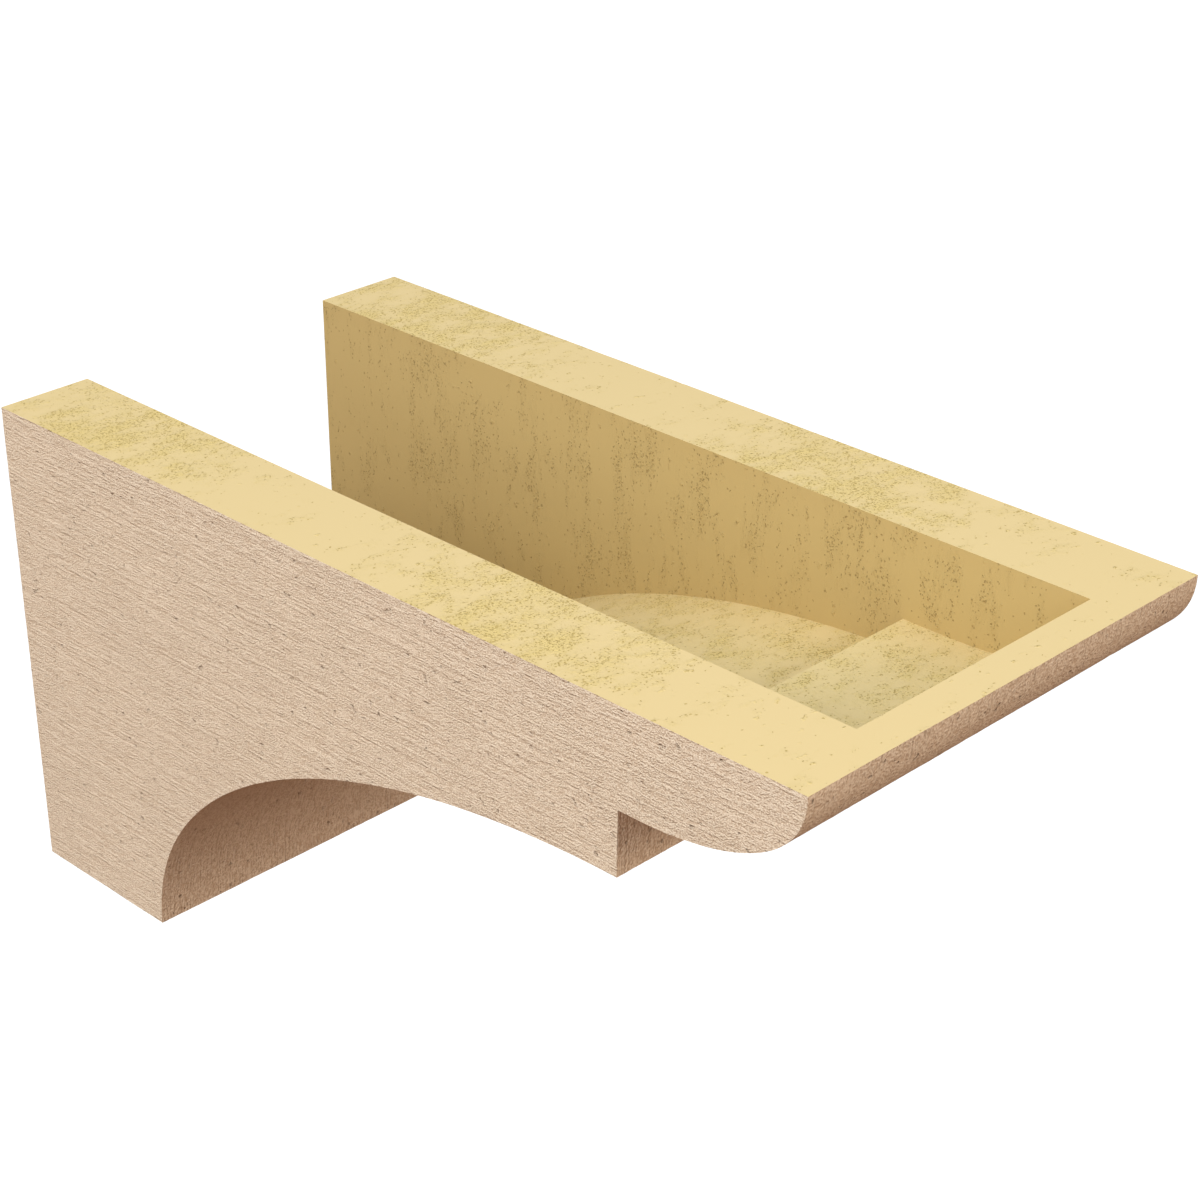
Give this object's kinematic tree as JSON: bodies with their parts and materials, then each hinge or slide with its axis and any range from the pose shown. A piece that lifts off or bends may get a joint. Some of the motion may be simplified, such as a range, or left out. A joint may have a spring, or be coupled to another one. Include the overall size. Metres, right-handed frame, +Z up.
{
  "type": "corbel",
  "caption": "Hollow corbel with a tall wall leg, an arm over an elliptical cove, a step and a rounded nose, open at its top and wall end, in primed moulded foam.",
  "frame": {"origin": "on the wall plane, on the centreline, in the middle of the foot's 19.05 mm edge", "axes": "+Z up, towards the open top that goes against a beam or soffit; +Y into the wall; the nose points along -Y; both halves about X = 0 are alike"},
  "size_m": [0.254, 0.508, 0.254],
  "materials": {
    "primed_foam": "matt factory primer over sandblasted wood grain outside, bare pale yellow foam inside and on the top"
  },
  "bodies": {
    "root": {"corbel": "primed_foam"}
  },
  "joints": []
}
